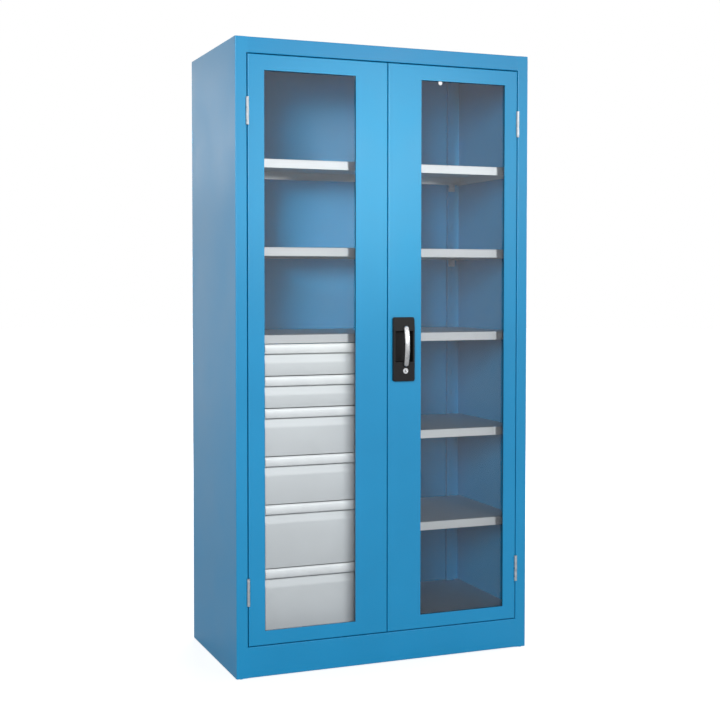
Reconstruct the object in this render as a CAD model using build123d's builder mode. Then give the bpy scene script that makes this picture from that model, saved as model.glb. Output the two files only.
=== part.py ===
from build123d import *
from math import cos, radians
import os

os.makedirs("parts", exist_ok=True)

# Overall sizes of the cabinet, in millimetres
body_width = 1000
body_depth = 500
body_height = 1950
foot_height = 2

# Sheet thicknesses and the fold radius on the outer face
panel = 1.5
sheet = 1.2
back_sheet = 1.0
tray_sheet = 1.0
fold = 2.5

# Side posts, top fascia and plinth
post_width = 36.5
post_depth = 30
rear_flange = 25
fascia_height = 48
plinth_height = 94.5
rail_return = 45
base_return = 20
wall_hole_radius = 8
wall_hole_inset = 76
wall_hole_drop = 18

# Floor pan
floor_top = 120
floor_setback = 36

# Doors
door_gap = 3
door_edge_gap = 2.5
door_depth = 22
door_lip = 14
window_rail_bottom = 43.5
window_rail_top = 47
window_flange = 5
hinge_stile = 51.8
left_lock_stile = 107.2
right_lock_stile = 114

# Glazing
seal_depth = 3
seal_width = 10
pane_thickness = 4
pane_overlap = 11
retainer_width = 14
retainer_cover = 10

# Hinges
knuckle_radius = 5
knuckle_length = 41.6
knuckle_cap = 2
hinge_proud = 1
hinge_play = 0.6
hinge_split = 0.6
leaf_thickness = 1.8
leaf_depth = 19
pin_radius = 2.5
pin_play = 0.05
hinge_inset_bottom = 167
hinge_inset_top = 171.5

# Shelves
shelf_setback = 52
shelf_depth = 432
shelf_lip = 27
shelf_hem = 12
shelf_side_play = 2
lower_shelf_top = 1049
shelf_spacing = 271.25
bay_shelf_tops = (732.5, 431.5)

# Perforated uprights and shelf brackets
upright_width = 29
upright_depth = 12
slot_width = 5
slot_height = 18
slot_pitch = 75
bracket_width = 24
bracket_drop = 24
bracket_ledge = 36

# Partition and runner wall, both hollow channels open to the drawers
wall_thickness = 20
wall_lip = 40
runner_wall_inset = 104.5

# Drawers
drawer_heights = (100, 100, 150, 150, 200, 200)
drawer_joint = 3
drawer_side_play = 2
drawer_setback = 48
drawer_length = 410
grip_height = 28
grip_overhang = 11
grip_bulge = 2.5
front_return = 12
runner_space = 13
tray_floor_gap = 8
tray_top_gap = 24
tray_flange = 9

# Drawer rails and their plastic glides
rail_sheet = 1.2
rail_height = 22
rail_width = 11.5
rail_top_play = 3
glide_length = 20
glide_play = 0.3

# Handle housing
housing_x = 52.15
housing_width = 73.3
housing_height = 203
housing_bottom = 898
housing_proud = 12
housing_slope = 5
housing_inset = 14
housing_body_play = 4.5
bowl_rise = 61
bowl_drop = 43
bowl_wall = 6
bowl_depth = 23

# Swing lever, hub and cam
lever_x = 56.5
lever_pivot_drop = 35.5
lever_width = 16
lever_thickness = 8.6
lever_key_gap = 5.2
lever_bulge = 9
lever_float = 0.4
lever_bevel = 2.4
hub_radius = 7.5
hub_slot = 5.6
lift_pin_radius = 2
lift_pin_depth = 5
tongue_radius = 4
cam_throw = 14
cam_thickness = 3
cam_depth = 18
crank_pin_radius = 2.5
spindle = 8

# Key cylinder
key_rise = 33
barrel_rim_radius = 8.8
barrel_radius = 7
rim_thickness = 1.2
plug_radius = 5.2
key_slot = 2

# Flat locking rods, their guides and the lock case
rod_width = 10
rod_thickness = 4
rod_depth = 27
rod_tip_play = 1.5
blade_width = 14
blade_length = 18
guide_wall = 5
guide_length = 24
guide_play = 0.08
guide_inset = 60
case_wall = 1.5
case_width = 62
case_height = 68
case_back = 34

# Slide bolts of the passive door
bolt_x = -42
bolt_width = 12
bolt_length = 150
bolt_tip_play = 1.5

# Feet
foot_radius = 8
foot_inset = 17
foot_stud_radius = 4
foot_plate = 2.5
foot_plate_z = 12

# Places that follow from the sizes
lever_reach = housing_proud + lever_float + lever_bulge + lever_thickness
front = lever_reach - (body_depth + lever_reach) / 2
back = front + body_depth
inner_back = back - back_sheet
side = body_width / 2
inner_side = side - panel
post_x = side - post_width
hinge_x = post_x - door_gap / 2
hinge_y = front - hinge_proud
fascia_bottom = body_height - fascia_height
plinth_top = foot_height + plinth_height
door_bottom = plinth_top + door_edge_gap
door_top = fascia_bottom - door_edge_gap
door_outer = post_x - door_gap
top_flange = wall_hole_drop - wall_hole_radius - 1
lever_pivot_z = housing_bottom + housing_height - lever_pivot_drop
key_z = housing_bottom + key_rise
door_width = door_outer - door_gap / 2
window_width = door_width - hinge_stile - left_lock_stile
window_height = door_top - door_bottom - window_rail_bottom - window_rail_top
window_z = door_bottom + window_rail_bottom + window_height / 2
left_window_x = -door_gap / 2 - left_lock_stile - window_width / 2
right_window_x = door_gap / 2 + right_lock_stile + window_width / 2
hinge_heights = (door_bottom + hinge_inset_bottom, door_top - hinge_inset_top)
guide_heights = (door_bottom + guide_inset, (door_bottom + lever_pivot_z) / 2,
                 (door_top + lever_pivot_z) / 2, door_top - guide_inset - guide_length)
pane_depth = window_flange + seal_depth
rear_depth = body_depth - back_sheet
shelf_end = inner_side - shelf_side_play
shelf_tops = [lower_shelf_top + shelf_spacing * level for level in (2, 1, 0)]
partition_x = wall_thickness / 2
runner_wall_right = runner_wall_inset - inner_side
wall_hole_x = side - wall_hole_inset
front_upright_x = post_x + panel + upright_width / 2
rear_upright_x = side - rear_flange - upright_width / 2 + 2 * panel
rear_upright_y = inner_back - panel - upright_depth
drawer_left = runner_wall_right + drawer_side_play
drawer_right = -partition_x - drawer_side_play
face_setback = drawer_setback + grip_overhang
tray_left = runner_wall_right + runner_space
tray_right = -partition_x - runner_space
tray_setback = face_setback + sheet
rail_setback = tray_setback + front_return + 4
bowl_bottom = housing_bottom + bowl_rise
bowl_height = housing_height - bowl_rise - bowl_drop
lever_top = lever_pivot_z + lever_width / 2
lever_bottom = key_z + barrel_rim_radius + lever_key_gap
throw_offset = cam_throw * cos(radians(45))
stack_top = shelf_tops[-1] - shelf_lip - drawer_joint
front_tops = [stack_top - sum(drawer_heights[:n]) for n in range(len(drawer_heights))]


def depth_plane(depth):
    """Upright plane at a depth behind the front face, drawn in X and Z."""
    return Plane.XZ.offset(-(front + depth))


def folded_sheet(plane, points, thickness, length, side_of_line=Side.LEFT, radius=fold):
    """Sheet folded along the points and run out along the plane's normal."""
    with BuildPart() as strip:
        with BuildSketch(plane):
            with BuildLine():
                FilletPolyline(*points, radius=radius)
                offset(amount=thickness, side=side_of_line)
            make_face()
        extrude(amount=length)
    return strip.part


def finish(piece, name):
    """Names a piece and writes its file."""
    piece.part.label = name
    export_step(piece.part, f"parts/{name}.step")


# Side panels: one folded sheet each, with the front post and a rear flange
def side_panel():
    with BuildPart() as panel_part:
        add(folded_sheet(
            Plane.XY.offset(foot_height),
            [(-side + rear_flange, inner_back), (-side, inner_back), (-side, front),
             (-post_x, front), (-post_x, front + post_depth)],
            panel, body_height - foot_height))
        with Locations((-(post_x + inner_side) / 2, front + panel + post_depth / 2,
                        body_height - panel / 2)):
            Box(inner_side - post_x, post_depth, panel, mode=Mode.SUBTRACT)
        for z in hinge_heights:
            with Locations((-hinge_x, hinge_y, z)):
                Box(2 * (knuckle_radius + hinge_play), 2 * (knuckle_radius + hinge_play),
                    2 * (knuckle_length + hinge_play) + hinge_split, mode=Mode.SUBTRACT)
    return panel_part


left_side_panel = side_panel()
finish(left_side_panel, "left_side_panel")

with BuildPart() as right_side_panel:
    mirror(left_side_panel.part, about=Plane.YZ)
finish(right_side_panel, "right_side_panel")

# Top panel: fascia, bolt keeper return and rear flange in one sheet
with BuildPart() as top_panel:
    add(folded_sheet(
        Plane.YZ.offset(-post_x),
        [(front + rail_return, fascia_bottom), (front, fascia_bottom), (front, body_height),
         (inner_back, body_height), (inner_back, body_height - top_flange)],
        panel, 2 * post_x, Side.RIGHT))
    with BuildSketch(Plane.XY.offset(body_height)):
        with Locations((0, (front + inner_back) / 2)):
            RectangleRounded(2 * inner_side, inner_back - front - 2 * panel, fold)
            Rectangle(2 * post_x, inner_back - front, mode=Mode.SUBTRACT)
    extrude(amount=-panel)
    with BuildSketch(Plane.XY.offset(fascia_bottom)):
        with Locations((lever_x - throw_offset, front + rod_depth)):
            Rectangle(rod_width + 2, rod_thickness + 2)
        with Locations((bolt_x, front + rod_depth)):
            Rectangle(bolt_width + 2, rod_thickness + 2)
    extrude(amount=panel, mode=Mode.SUBTRACT)
finish(top_panel, "top_panel")

# Plinth between the posts, with the lower keeper return
with BuildPart() as plinth_panel:
    add(folded_sheet(
        Plane.YZ.offset(-post_x),
        [(front + rail_return, plinth_top), (front, plinth_top), (front, foot_height),
         (front + base_return, foot_height)],
        panel, 2 * post_x))
    with BuildSketch(Plane.XY.offset(plinth_top)):
        with Locations((lever_x + throw_offset, front + rod_depth)):
            Rectangle(rod_width + 2, rod_thickness + 2)
        with Locations((bolt_x, front + rod_depth)):
            Rectangle(bolt_width + 2, rod_thickness + 2)
    extrude(amount=-panel, mode=Mode.SUBTRACT)
finish(plinth_panel, "plinth_panel")

# Floor: an inverted pan standing on the plinth return
with BuildPart() as floor_panel:
    with BuildSketch(Plane.XY.offset(plinth_top)):
        with Locations((0, (front + floor_setback + inner_back - panel) / 2)):
            Rectangle(2 * inner_side, body_depth - back_sheet - panel - floor_setback)
    extrude(amount=floor_top - plinth_top)
    fillet(floor_panel.edges().filter_by(Axis.Z).group_by(Axis.Y)[-1], fold)
    fillet(floor_panel.faces().sort_by(Axis.Z)[-1].edges().sort_by(Axis.Y)[0], fold)
    offset(amount=-sheet, openings=floor_panel.faces().sort_by(Axis.Z)[0])
finish(floor_panel, "floor_panel")

# Back panel with two wall fixing holes
with BuildPart() as back_panel:
    with BuildSketch(Plane.XZ.offset(-back)):
        with Locations((0, (foot_height + body_height) / 2)):
            Rectangle(body_width, body_height - foot_height)
        with Locations((-wall_hole_x, body_height - wall_hole_drop),
                       (wall_hole_x, body_height - wall_hole_drop)):
            Circle(wall_hole_radius, mode=Mode.SUBTRACT)
    extrude(amount=back_sheet)
finish(back_panel, "back_panel")


# Partition and runner wall: hollow channels whose lips carry the drawer rails
def channel_wall(x, toward):
    """Channel with its web at x and its lips on the drawers' side."""
    lip_x = x + toward * wall_thickness
    y0, y1 = front + shelf_setback, front + shelf_setback + shelf_depth
    height = stack_top + drawer_joint - floor_top
    with BuildPart() as wall:
        add(folded_sheet(
            Plane.XY.offset(floor_top),
            [(lip_x, y0 + wall_lip), (lip_x, y0), (x, y0), (x, y1), (lip_x, y1),
             (lip_x, y1 - wall_lip)],
            sheet, height, Side.LEFT if toward < 0 else Side.RIGHT, (fold, fold, 0, 0)))
    return wall


partition = channel_wall(partition_x, -1)
finish(partition, "partition")

runner_wall = channel_wall(runner_wall_right - wall_thickness, 1)
finish(runner_wall, "runner_wall")

# Perforated uprights in the four corners
with BuildPart() as shelf_uprights:
    for mirror_x in (-1, 1):
        for center_x, web_y, inward in (
                (front_upright_x, front + post_depth, -1),
                (rear_upright_x, rear_upright_y, 1)):
            leg_y = web_y + inward * upright_depth
            left = mirror_x * center_x - upright_width / 2
            right = left + upright_width
            with BuildSketch(Plane.XY.offset(floor_top)):
                with BuildLine():
                    Polyline((left, leg_y), (left, web_y), (right, web_y), (right, leg_y))
                    offset(amount=panel, side=Side.LEFT if inward > 0 else Side.RIGHT)
                make_face()
            extrude(amount=body_height - panel - fold - floor_top)
            slots = int((body_height - floor_top) / slot_pitch) - 1
            with BuildSketch(Plane.XZ.offset(-web_y)):
                with Locations((mirror_x * center_x, (body_height + floor_top) / 2)):
                    with GridLocations(slot_pitch, slot_pitch, 1, slots):
                        Rectangle(slot_width, slot_height)
            extrude(amount=-inward * panel, mode=Mode.SUBTRACT)
finish(shelf_uprights, "shelf_uprights")


# Shelves: inverted pans with hemmed lips at front and back
def shelf_pan(left, right, top):
    y0, y1 = front + shelf_setback, front + shelf_setback + shelf_depth
    with BuildPart() as pan:
        add(folded_sheet(
            Plane.YZ.offset(left),
            [(y0 + shelf_hem, top - shelf_lip), (y0, top - shelf_lip), (y0, top), (y1, top),
             (y1, top - shelf_lip), (y1 - shelf_hem, top - shelf_lip)],
            sheet, right - left, Side.RIGHT, (0, fold, fold, 0)))
        with BuildSketch(Plane.YZ.offset(left), Plane.YZ.offset(right - sheet)):
            with Locations(((y0 + y1) / 2, top - shelf_lip / 2 - sheet / 2)):
                Rectangle(shelf_depth - 2 * fold, shelf_lip - sheet)
        extrude(amount=sheet)
    return pan


upper_shelf = shelf_pan(-shelf_end, shelf_end, shelf_tops[0])
finish(upper_shelf, "upper_shelf")

middle_shelf = shelf_pan(-shelf_end, shelf_end, shelf_tops[1])
finish(middle_shelf, "middle_shelf")

lower_shelf = shelf_pan(-shelf_end, shelf_end, shelf_tops[2])
finish(lower_shelf, "lower_shelf")

upper_bay_shelf = shelf_pan(partition_x + shelf_side_play, shelf_end, bay_shelf_tops[0])
finish(upper_bay_shelf, "upper_bay_shelf")

lower_bay_shelf = shelf_pan(partition_x + shelf_side_play, shelf_end, bay_shelf_tops[1])
finish(lower_bay_shelf, "lower_bay_shelf")


# Shelf brackets: folded ledges under the shelf corners
def bracket(x, y, top, outward, sideways):
    """Ledge held on the face at x, y and pointing outward under a shelf."""
    place = Plane(origin=(x, y, top), x_dir=outward, z_dir=sideways)
    return folded_sheet(place.offset(-bracket_width / 2),
                        [(0, -bracket_drop), (0, 0), (bracket_ledge, 0)],
                        panel, bracket_width, Side.RIGHT, 0)


with BuildPart() as shelf_brackets:
    for top in shelf_tops + list(bay_shelf_tops):
        for x_sign in (-1, 1) if top in shelf_tops else (1,):
            add(bracket(x_sign * front_upright_x, front + post_depth, top - shelf_lip,
                        (0, 1, 0), (1, 0, 0)))
            add(bracket(x_sign * rear_upright_x, rear_upright_y, top - shelf_lip,
                        (0, -1, 0), (-1, 0, 0)))
    for top in bay_shelf_tops:
        for y in (shelf_setback + bracket_width, shelf_setback + shelf_depth - bracket_width):
            add(bracket(partition_x, front + y, top - shelf_lip, (1, 0, 0), (0, -1, 0)))
finish(shelf_brackets, "shelf_brackets")


# Doors: folded pans with a flanged window opening
def door_shell(left, right, window_x, x_hinge):
    with BuildPart() as shell:
        with BuildSketch(depth_plane(0)):
            with Locations(((left + right) / 2, (door_bottom + door_top) / 2)):
                Rectangle(right - left, door_top - door_bottom)
        extrude(amount=-door_depth)
        fillet(shell.faces().sort_by(Axis.Y)[0].edges(), fold)
        with BuildSketch(depth_plane(sheet)):
            with Locations(((left + right) / 2, (door_bottom + door_top) / 2)):
                Rectangle(right - left - 2 * sheet, door_top - door_bottom - 2 * sheet)
        extrude(amount=-door_depth, mode=Mode.SUBTRACT)
        with BuildSketch(depth_plane(door_depth - sheet)):
            with Locations(((left + right) / 2, (door_bottom + door_top) / 2)):
                Rectangle(right - left, door_top - door_bottom)
                Rectangle(right - left - 2 * door_lip, door_top - door_bottom - 2 * door_lip,
                          mode=Mode.SUBTRACT)
        extrude(amount=-sheet)
        with BuildSketch(depth_plane(0)):
            with Locations((window_x, window_z)):
                Rectangle(window_width + 2 * sheet, window_height + 2 * sheet)
        extrude(amount=-window_flange)
        with BuildSketch(depth_plane(0)):
            with Locations((window_x, window_z)):
                Rectangle(window_width, window_height)
        extrude(amount=-window_flange, mode=Mode.SUBTRACT)
        for z in hinge_heights:
            with Locations((x_hinge, hinge_y, z)):
                Box(2 * (knuckle_radius + hinge_play), 2 * (knuckle_radius + hinge_play),
                    2 * (knuckle_length + hinge_play) + hinge_split, mode=Mode.SUBTRACT)
    return shell


left_door_shell = door_shell(-door_outer, -door_gap / 2, left_window_x, -hinge_x)
finish(left_door_shell, "left_door_shell")

with BuildPart() as right_door_shell:
    add(door_shell(door_gap / 2, door_outer, right_window_x, hinge_x).part)
    with BuildSketch(depth_plane(0)):
        with Locations((housing_x, housing_bottom + housing_height / 2)):
            Rectangle(housing_width - 2 * housing_body_play, housing_height - 2 * housing_body_play)
    extrude(amount=-fold, mode=Mode.SUBTRACT)
finish(right_door_shell, "right_door_shell")


# Glazing: pane, rubber seal and clamping frame
def window_ring(window_x, inner, outer, depth, thickness):
    """Rectangular ring round a window, between two offsets from its opening."""
    with BuildPart() as ring:
        with BuildSketch(depth_plane(depth)):
            with Locations((window_x, window_z)):
                Rectangle(window_width + 2 * outer, window_height + 2 * outer)
                Rectangle(window_width + 2 * inner, window_height + 2 * inner,
                          mode=Mode.SUBTRACT)
        extrude(amount=-thickness)
    return ring


def window_pane(window_x):
    with BuildPart() as pane:
        with BuildSketch(depth_plane(pane_depth)):
            with Locations((window_x, window_z)):
                Rectangle(window_width + 2 * pane_overlap, window_height + 2 * pane_overlap)
        extrude(amount=-pane_thickness)
    return pane


def window_retainer(window_x):
    """Angle frame: a leg on the door skin and a flange over the pane's edge."""
    with BuildPart() as frame:
        add(window_ring(window_x, retainer_width - sheet, retainer_width, sheet,
                        pane_depth + pane_thickness).part)
        add(window_ring(window_x, retainer_width - retainer_cover, retainer_width,
                        pane_depth + pane_thickness, sheet).part)
    return frame


left_window_seal = window_ring(left_window_x, 0, seal_width, window_flange, seal_depth)
finish(left_window_seal, "left_window_seal")
left_window_pane = window_pane(left_window_x)
finish(left_window_pane, "left_window_pane")
left_window_retainer = window_retainer(left_window_x)
finish(left_window_retainer, "left_window_retainer")

right_window_seal = window_ring(right_window_x, 0, seal_width, window_flange, seal_depth)
finish(right_window_seal, "right_window_seal")
right_window_pane = window_pane(right_window_x)
finish(right_window_pane, "right_window_pane")
right_window_retainer = window_retainer(right_window_x)
finish(right_window_retainer, "right_window_retainer")


# Stile covers: close the lock side of each door to a box section
def stile_cover(edge_x, window_x, toward):
    """Angle from the door's edge to just before the window frame."""
    near = edge_x + toward * 2 * sheet
    far = window_x - toward * (window_width / 2 + retainer_width + 2 * sheet)
    with BuildPart() as cover:
        add(folded_sheet(
            Plane.XY.offset(door_bottom + 2 * sheet),
            [(near, front + door_depth - sheet), (far, front + door_depth - sheet),
             (far, front + sheet)],
            sheet, door_top - door_bottom - 4 * sheet,
            Side.RIGHT if toward > 0 else Side.LEFT))
    return cover


left_stile_cover = stile_cover(-door_gap / 2, left_window_x, -1)
finish(left_stile_cover, "left_stile_cover")

case_z = lever_pivot_z
with BuildPart() as right_stile_cover:
    add(stile_cover(door_gap / 2, right_window_x, 1).part)
    with Locations((lever_x, front + door_depth, case_z)):
        Box(case_width, door_depth, case_height, mode=Mode.SUBTRACT)
finish(right_stile_cover, "right_stile_cover")


# Hinges: lift-off weld-on halves, the lower with its pin on the post, the upper on the door
def knuckle(x, leaf_x, bottom):
    """Barrel with its welded leaf, before any pin or bore."""
    with BuildPart() as barrel:
        with BuildSketch(Plane.XY.offset(bottom)):
            with Locations((x, hinge_y)):
                Circle(knuckle_radius)
            with Locations((leaf_x, hinge_y + leaf_depth / 2)):
                Rectangle(leaf_thickness, leaf_depth)
        extrude(amount=knuckle_length)
    return barrel.part


with BuildPart() as frame_knuckles:
    for x_sign in (-1, 1):
        for z in hinge_heights:
            top = z - hinge_split / 2
            add(knuckle(x_sign * hinge_x, x_sign * (post_x + panel + leaf_thickness / 2),
                        top - knuckle_length))
            with BuildSketch(Plane.XY.offset(top)):
                with Locations((x_sign * hinge_x, hinge_y)):
                    Circle(pin_radius)
            extrude(amount=hinge_split + knuckle_length - knuckle_cap - pin_play)
finish(frame_knuckles, "frame_knuckles")

with BuildPart() as left_door_knuckles:
    for z in hinge_heights:
        bottom = z + hinge_split / 2
        add(knuckle(-hinge_x, -door_outer + sheet + leaf_thickness / 2, bottom))
        with BuildSketch(Plane.XY.offset(bottom)):
            with Locations((-hinge_x, hinge_y)):
                Circle(pin_radius + pin_play)
        extrude(amount=knuckle_length - knuckle_cap, mode=Mode.SUBTRACT)
finish(left_door_knuckles, "left_door_knuckles")

with BuildPart() as right_door_knuckles:
    mirror(left_door_knuckles.part, about=Plane.YZ)
finish(right_door_knuckles, "right_door_knuckles")

# Handle housing: a sloped plate with a finger bowl, set through the door skin
with BuildPart() as handle_housing:
    housing_top = housing_bottom + housing_height
    bowl_top = bowl_bottom + bowl_height
    with BuildSketch(Plane.YZ.offset(housing_x - housing_width / 2)):
        with BuildLine():
            Polyline((front, housing_bottom), (front, housing_top),
                     (front - housing_proud + housing_slope, housing_top),
                     (front - housing_proud, bowl_top), (front - housing_proud, housing_bottom),
                     close=True)
        make_face()
    extrude(amount=housing_width)
    fillet(handle_housing.edges().filter_by(Axis.Y), 6)
    fillet(handle_housing.faces().sort_by(Axis.Y)[0].edges(), 1.8)
    with BuildSketch(depth_plane(0)):
        with Locations((housing_x, (housing_bottom + housing_top) / 2)):
            Rectangle(housing_width - 2 * housing_body_play - 1,
                      housing_height - 2 * housing_body_play - 1)
    extrude(amount=-housing_inset)
    with BuildSketch(depth_plane(-housing_proud)):
        with Locations((housing_x, bowl_bottom + bowl_height / 2)):
            Rectangle(housing_width - 2 * bowl_wall, bowl_height)
    extrude(amount=-bowl_depth, mode=Mode.SUBTRACT)
    bowl_floor = handle_housing.faces().filter_by(Axis.Y).group_by(Axis.Y)[-2]
    fillet(bowl_floor.sort_by(SortBy.AREA)[-1].edges(), 7)
    with BuildSketch(depth_plane(-housing_proud - fold)):
        with Locations((lever_x, lever_pivot_z)):
            Circle(hub_radius + pin_play)
        with Locations((lever_x, key_z)):
            Circle(barrel_radius)
    extrude(amount=-housing_proud - housing_inset - 2 * fold, mode=Mode.SUBTRACT)
finish(handle_housing, "handle_housing")

# Lever hub: a slotted rotor with a square spindle
pivot_y = front - housing_proud + lift_pin_depth
with BuildPart() as lever_hub:
    with BuildSketch(depth_plane(-housing_proud + housing_slope / 2)):
        with Locations((lever_x, lever_pivot_z)):
            Circle(hub_radius)
    extrude(amount=-(housing_proud - housing_slope / 2 + housing_inset + 1))
    with BuildSketch(depth_plane(housing_inset + 1)):
        with Locations((lever_x, lever_pivot_z)):
            Rectangle(spindle, spindle)
    extrude(amount=-(cam_depth + cam_thickness - housing_inset - 1))
    with Locations((lever_x, front - housing_proud, lever_pivot_z)):
        Box(hub_slot, 2 * (lift_pin_depth + tongue_radius + 1), 2 * hub_radius + 1,
            mode=Mode.SUBTRACT)
finish(lever_hub, "lever_hub")

with BuildPart() as lever_pin:
    with BuildSketch(Plane.YZ.offset(lever_x)):
        with Locations((pivot_y, lever_pivot_z)):
            Circle(lift_pin_radius)
    extrude(amount=hub_slot / 2, both=True)
finish(lever_pin, "lever_pin")

# Swing lever: an arched bar whose tongue hangs on the cross pin in the hub
lever_under = front - housing_proud - lever_float
with BuildPart() as swing_lever:
    with BuildSketch(Plane.YZ.offset(lever_x)):
        with BuildLine():
            under = ThreePointArc(
                (lever_under, lever_bottom),
                (lever_under - lever_bulge, (lever_bottom + lever_top) / 2),
                (lever_under, lever_top))
            over = ThreePointArc(
                (lever_under - lever_thickness, lever_bottom),
                (lever_under - lever_bulge - lever_thickness, (lever_bottom + lever_top) / 2),
                (lever_under - lever_thickness, lever_top))
            Line(under @ 0, over @ 0)
            Line(under @ 1, over @ 1)
        make_face()
    extrude(amount=lever_width / 2, both=True)
    with BuildSketch(depth_plane(0)):
        with Locations((lever_x, (lever_bottom + lever_top) / 2)):
            SlotOverall(lever_top - lever_bottom, lever_width, rotation=90)
    extrude(amount=2 * lever_reach, mode=Mode.INTERSECT)
    with BuildSketch(Plane.YZ.offset(lever_x)):
        with BuildLine():
            Polyline((lever_under + 1, lever_pivot_z + 1), (lever_under + 1, lever_top + 1),
                     (lever_under - lever_thickness / 2, lever_top + 1),
                     (lever_under, lever_pivot_z + 1), close=True)
        make_face()
    extrude(amount=lever_width, both=True, mode=Mode.SUBTRACT)
    outer_face = swing_lever.faces().filter_by(GeomType.CYLINDER).sort_by(Axis.Y)[0]
    chamfer(outer_face.edges(), lever_bevel)
    with BuildSketch(Plane.YZ.offset(lever_x)):
        with Locations((pivot_y, lever_pivot_z)):
            Circle(tongue_radius)
        with Locations(((pivot_y + lever_under - 2) / 2, lever_pivot_z)):
            Rectangle(pivot_y - lever_under + 2, 2 * tongue_radius - 1)
        with Locations((pivot_y, lever_pivot_z)):
            Circle(lift_pin_radius + pin_play, mode=Mode.SUBTRACT)
    extrude(amount=hub_slot / 2 - 0.3, both=True)
finish(swing_lever, "swing_lever")

# Cam: two crank pins that drive the rods apart or together
with BuildPart() as lock_cam:
    with BuildSketch(depth_plane(cam_depth)):
        with Locations((lever_x, lever_pivot_z)):
            SlotCenterToCenter(2 * cam_throw, 2 * spindle, rotation=-45)
            Rectangle(spindle + 2 * pin_play, spindle + 2 * pin_play, mode=Mode.SUBTRACT)
    extrude(amount=-cam_thickness)
    with BuildSketch(depth_plane(cam_depth + cam_thickness)):
        with Locations((lever_x - throw_offset, lever_pivot_z + throw_offset),
                       (lever_x + throw_offset, lever_pivot_z - throw_offset)):
            Circle(crank_pin_radius)
    extrude(amount=-(rod_depth + rod_thickness - cam_depth - cam_thickness))
finish(lock_cam, "lock_cam")


# Locking rods: flat bars with a wider, slotted end on the cam's crank pin
def locking_rod(x, blade_z, tip_z, slot_shift):
    """Rod from its slotted end to its tip, with a cross slot for the crank pin."""
    reach = 1 if tip_z > blade_z else -1
    with BuildPart() as rod:
        with BuildSketch(depth_plane(rod_depth - rod_thickness / 2)):
            with Locations((x, (blade_z + tip_z) / 2)):
                Rectangle(rod_width, abs(tip_z - blade_z))
            with Locations((x + slot_shift, blade_z)):
                Rectangle(blade_width, blade_length)
                SlotOverall(2 * crank_pin_radius + cam_throw - throw_offset + 1,
                            2 * crank_pin_radius + 1, mode=Mode.SUBTRACT)
        extrude(amount=-rod_thickness)
        chamfer(rod.faces().sort_by(Axis.Z)[-1 if reach > 0 else 0].edges(), 1)
    return rod


slot_shift = (cam_throw - throw_offset) / 2
upper_rod = locking_rod(lever_x - throw_offset, lever_pivot_z + throw_offset,
                        fascia_bottom - rod_tip_play, -slot_shift)
finish(upper_rod, "upper_rod")

lower_rod = locking_rod(lever_x + throw_offset, lever_pivot_z - throw_offset,
                        plinth_top + rod_tip_play, slot_shift)
finish(lower_rod, "lower_rod")


# Guides: blocks on the stile covers that the rods and bolts slide through
def bar_guide(x, z, width, length):
    """Guide with a flat bore for a bar of that width, its lower end at z."""
    guide_front = door_depth - sheet
    guide_back = rod_depth + rod_thickness / 2 + guide_wall / 2
    with BuildPart() as guide:
        with BuildSketch(Plane.XY.offset(z)):
            with Locations((x, front + (guide_front + guide_back) / 2)):
                Rectangle(width + 2 * guide_wall, guide_back - guide_front)
            with Locations((x, front + rod_depth)):
                Rectangle(width + 2 * guide_play, rod_thickness + 2 * guide_play,
                          mode=Mode.SUBTRACT)
        extrude(amount=length)
    return guide.part


with BuildPart() as rod_guides:
    for z in guide_heights:
        side_of_axis = 1 if z < lever_pivot_z else -1
        add(bar_guide(lever_x + side_of_axis * throw_offset, z, rod_width, guide_length))
finish(rod_guides, "rod_guides")

# Lock case behind the housing, open at the front
with BuildPart() as lock_case:
    with BuildSketch(depth_plane(housing_inset)):
        with Locations((lever_x, case_z)):
            Rectangle(case_width - 1, case_height - 1)
    extrude(amount=-(case_back - housing_inset))
    with BuildSketch(depth_plane(housing_inset)):
        with Locations((lever_x, case_z)):
            Rectangle(case_width - 1 - 2 * case_wall, case_height - 1 - 2 * case_wall)
    extrude(amount=-(case_back - housing_inset - case_wall), mode=Mode.SUBTRACT)
    for side_of_axis in (-1, 1):
        with BuildSketch(Plane.XY.offset(case_z)):
            with Locations((lever_x - side_of_axis * throw_offset, front + rod_depth)):
                Rectangle(rod_width + 2, rod_thickness + 2)
        extrude(amount=side_of_axis * case_height, mode=Mode.SUBTRACT)
finish(lock_case, "lock_case")

# Key cylinder: fixed barrel and turning plug with its tail
rim_front = housing_proud + rim_thickness
with BuildPart() as lock_barrel:
    with BuildSketch(depth_plane(-rim_front)):
        with Locations((lever_x, key_z)):
            Circle(barrel_rim_radius)
    extrude(amount=-rim_thickness)
    with BuildSketch(depth_plane(-housing_proud)):
        with Locations((lever_x, key_z)):
            Circle(barrel_radius - pin_play)
    extrude(amount=-(housing_proud + housing_inset + 1))
    with BuildSketch(depth_plane(-rim_front)):
        with Locations((lever_x, key_z)):
            Circle(plug_radius + pin_play)
    extrude(amount=-(rim_front + housing_inset + 1), mode=Mode.SUBTRACT)
finish(lock_barrel, "lock_barrel")

with BuildPart() as key_plug:
    with BuildSketch(depth_plane(-rim_front + 0.3)):
        with Locations((lever_x, key_z)):
            Circle(plug_radius)
    extrude(amount=-(rim_front - 0.3 + housing_inset + 1.2))
    with BuildSketch(depth_plane(housing_inset + 1.2)):
        with Locations((lever_x, key_z - plug_radius)):
            SlotOverall(4 * plug_radius, 2 * plug_radius, rotation=90)
    extrude(amount=-2)
    with BuildSketch(depth_plane(-rim_front)):
        with Locations((lever_x, key_z)):
            SlotOverall(1.5 * plug_radius, key_slot, rotation=90)
    extrude(amount=-housing_inset, mode=Mode.SUBTRACT)
finish(key_plug, "key_plug")


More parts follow.
